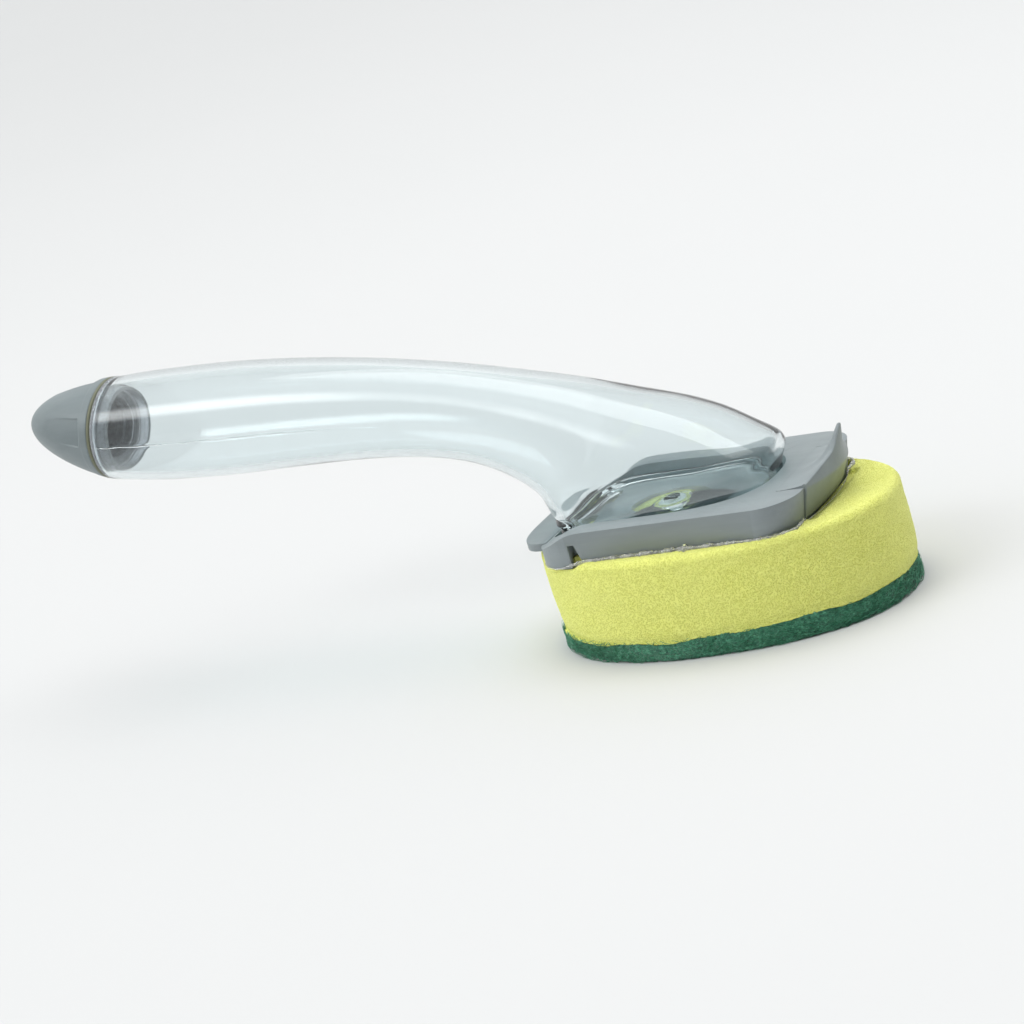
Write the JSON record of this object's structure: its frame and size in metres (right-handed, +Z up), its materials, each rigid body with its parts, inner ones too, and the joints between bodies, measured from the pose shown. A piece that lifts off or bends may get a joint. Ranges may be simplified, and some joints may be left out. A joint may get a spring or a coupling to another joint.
{
  "type": "dish wand",
  "caption": "Soap-dispensing dish wand: clear hollow curved handle closed by a sealed screw cap, on a clip-on head that carries a foam sponge and a scouring pad.",
  "frame": {"origin": "centre of the scouring pad's working face, on the symmetry plane", "axes": "+X along the head towards its front tab, +Z up from the working face towards the handle, +Y across; the handle lies in the XZ plane and runs back towards -X"},
  "size_m": [0.2422, 0.0664, 0.0864],
  "materials": {
    "clear_plastic": "clear, polished, faint blue-green tint",
    "grey_plastic": "satin moulded plastic",
    "seal_rubber": "matt",
    "valve_silicone": "translucent, matt",
    "yellow_foam": "open-cell foam",
    "green_scourer": "non-woven fibre",
    "clear_glue": "clear, glossy, set hot-melt bead"
  },
  "bodies": {
    "handle": {"handle_upper_shell": "clear_plastic", "handle_lower_shell": "clear_plastic", "filler_neck": "clear_plastic", "foot_plate": "clear_plastic", "soap_valve": "valve_silicone"},
    "seal": {"cap_seal": "seal_rubber"},
    "cap": {"screw_cap": "grey_plastic"},
    "head": {"head_base": "grey_plastic", "foam_sponge": "yellow_foam", "scouring_pad": "green_scourer", "glue_bead": "clear_glue"},
    "tab": {"release_tab": "grey_plastic"}
  },
  "joints": [
    {"name": "cap_travel", "type": "slide", "parent": "handle", "child": "seal", "axis": [-0.9826, 0, 0.1857], "range_m": [0, 0.005]},
    {"name": "cap_turn", "type": "hinge", "parent": "seal", "child": "cap", "pos_m": [-0.168, 0, 0.07242], "axis": [-0.9826, 0, 0.1857], "range_deg": [0, 900.5]},
    {"name": "head_release", "type": "hinge", "parent": "handle", "child": "head", "pos_m": [-0.0383, 0, 0.0288], "axis": [0, 1, 0], "range_deg": [0, 18]},
    {"name": "tab_flex", "type": "hinge", "parent": "head", "child": "tab", "pos_m": [0.029, 0, 0.0263], "axis": [0, 1, 0], "range_deg": [0, 10], "stiffness_Nm_per_rad": 0.4}
  ],
  "couplings": [
    {"joint": "cap_turn", "follows": "cap_travel", "rad_per_m": 3141.6}
  ]
}
